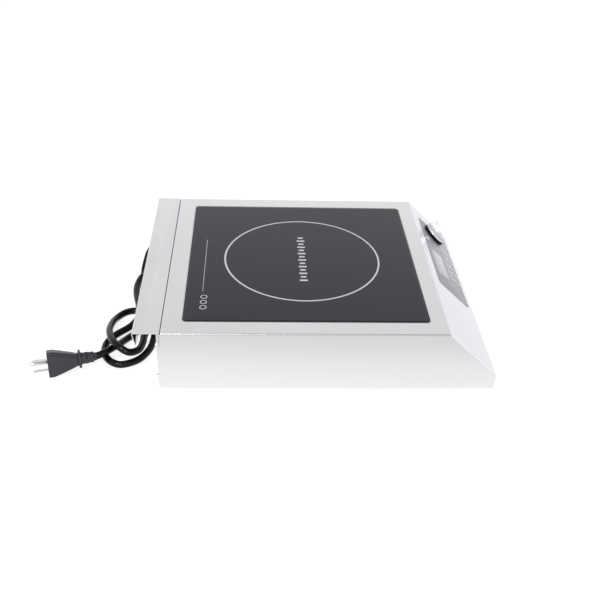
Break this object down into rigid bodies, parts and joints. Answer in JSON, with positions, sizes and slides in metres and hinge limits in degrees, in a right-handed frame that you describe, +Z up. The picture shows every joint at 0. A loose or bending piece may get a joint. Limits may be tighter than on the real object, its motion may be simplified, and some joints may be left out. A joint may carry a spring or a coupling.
{
  "type": "countertop induction cooktop",
  "caption": "Countertop induction cooktop: folded steel case, glass plate, sloping control face with a turn-and-press knob, rear overhang, fan inside, mains lead and plug.",
  "frame": {"origin": "on the table, under the middle of the housing; the lead and its plug are not counted", "axes": "+X to the user's right, +Y to the rear, +Z up; the control face is at the front, -Y"},
  "size_m": [0.327, 0.5513, 0.0975],
  "materials": {
    "case_steel": "fine brushed",
    "inner_steel": "mill",
    "black_glass": "polished glass ceramic",
    "seal_silicone": "satin",
    "mica": "matte",
    "copper_wire": "enamelled strands",
    "black_plastic": "moulded",
    "ferrite": "matte ceramic",
    "white_plastic": "moulded",
    "circuit_board": "solder mask",
    "bare_aluminium": "extruded",
    "chip_epoxy": "matte",
    "film_capacitor": "gloss",
    "red_capacitor": "gloss",
    "overlay_film": "satin film",
    "window_film": "clear film",
    "display_plastic": "gloss",
    "led_lens": "clear",
    "plated_metal": "plated",
    "knob_chrome": "bright chrome",
    "knob_black": "satin",
    "foot_rubber": "matte",
    "cord_rubber": "satin",
    "plug_rubber": "satin",
    "prong_metal": "nickel plated",
    "brass_metal": "plain"
  },
  "bodies": {
    "housing": {"top_housing": "case_steel", "rear_panel": "case_steel", "rear_cap": "case_steel", "base_plate": "inner_steel", "glass_top": "black_glass", "glass_seal": "seal_silicone", "glass_frame": "inner_steel", "mica_sheet": "mica", "induction_coil": "copper_wire", "coil_carrier": "black_plastic", "ferrite_bars": "ferrite", "coil_bracket": "inner_steel", "carrier_studs": "plated_metal", "thermistor_holder": "white_plastic", "thermistor": "chip_epoxy", "power_board": "circuit_board", "board_standoffs": "white_plastic", "heat_sink": "bare_aluminium", "power_transistors": "chip_epoxy", "bridge_rectifier": "chip_epoxy", "resonance_capacitors": "film_capacitor", "smoothing_capacitor": "red_capacitor", "filter_choke": "copper_wire", "aux_transformer": "film_capacitor", "mains_fuse": "white_plastic", "buzzer": "black_plastic", "fan_frame": "black_plastic", "fan_screws": "plated_metal", "air_duct": "black_plastic", "control_overlay": "overlay_film", "display_window": "window_film", "display_module": "display_plastic", "indicator_leds": "led_lens", "control_board": "circuit_board", "control_bracket": "inner_steel", "encoder_body": "plated_metal", "encoder_nut": "plated_metal", "ribbon_cable": "white_plastic", "foot_front_left": "foot_rubber", "foot_front_right": "foot_rubber", "foot_rear_left": "foot_rubber", "foot_rear_right": "foot_rubber", "foot_screws": "plated_metal", "base_screws": "plated_metal", "rear_screws": "plated_metal", "earth_stud": "brass_metal", "mains_leads": "cord_rubber", "cord_gland": "cord_rubber", "power_cord": "cord_rubber", "plug_body": "plug_rubber", "plug_relief": "plug_rubber", "plug_blades": "prong_metal", "plug_ground_pin": "prong_metal"},
    "fan": {"fan_rotor": "black_plastic"},
    "plunger": {"encoder_plunger": "brass_metal"},
    "knob": {"encoder_shaft": "plated_metal", "knob_skirt": "knob_black", "knob_cap": "knob_chrome"}
  },
  "joints": [
    {"name": "fan_spin", "type": "hinge", "parent": "housing", "child": "fan", "pos_m": [-0.098, -0.07, 0.035], "axis": [0, 0, 1], "continuous": true},
    {"name": "knob_press", "type": "slide", "parent": "housing", "child": "plunger", "axis": [0, 0.6827, -0.7307], "range_m": [0, 0.0007], "stiffness_N_per_m": 1500, "springref_m": -0.001},
    {"name": "knob_turn", "type": "hinge", "parent": "plunger", "child": "knob", "pos_m": [0.117, -0.17927, 0.06731], "axis": [0, -0.6827, 0.7307], "continuous": true}
  ]
}
